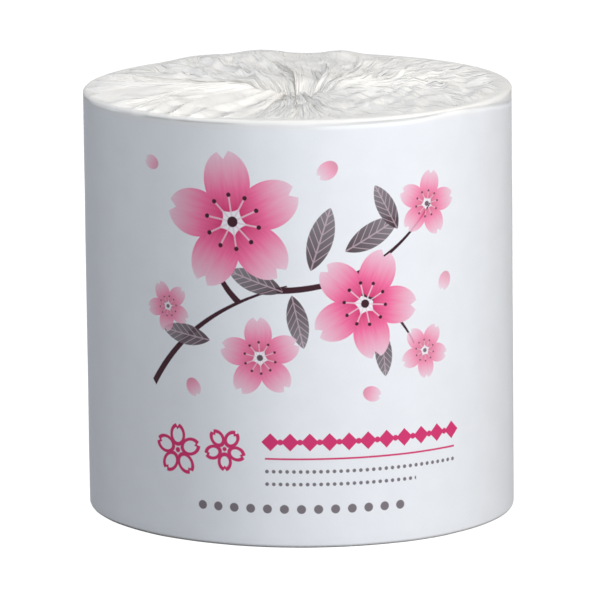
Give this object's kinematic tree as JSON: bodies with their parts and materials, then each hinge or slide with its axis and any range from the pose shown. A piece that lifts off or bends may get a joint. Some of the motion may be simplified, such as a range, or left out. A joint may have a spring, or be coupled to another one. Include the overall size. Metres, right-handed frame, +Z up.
{
  "type": "wrapped toilet paper roll",
  "caption": "Coreless toilet roll standing on end in a thin printed paper wrapper, its spare paper pleated over both ends and tucked into the middle.",
  "frame": {"origin": "middle of the flat ring that the roll stands on", "axes": "+Z up along the roll's own axis, -Y out of the printed front, +Y out of the lapped back"},
  "size_m": [0.115, 0.1152, 0.1163],
  "materials": {
    "wrapper_paper": "thin smooth white wrapping paper, printed in pink on the front, creased over the ends"
  },
  "bodies": {
    "root": {"wrapped_roll": "wrapper_paper"}
  },
  "joints": []
}
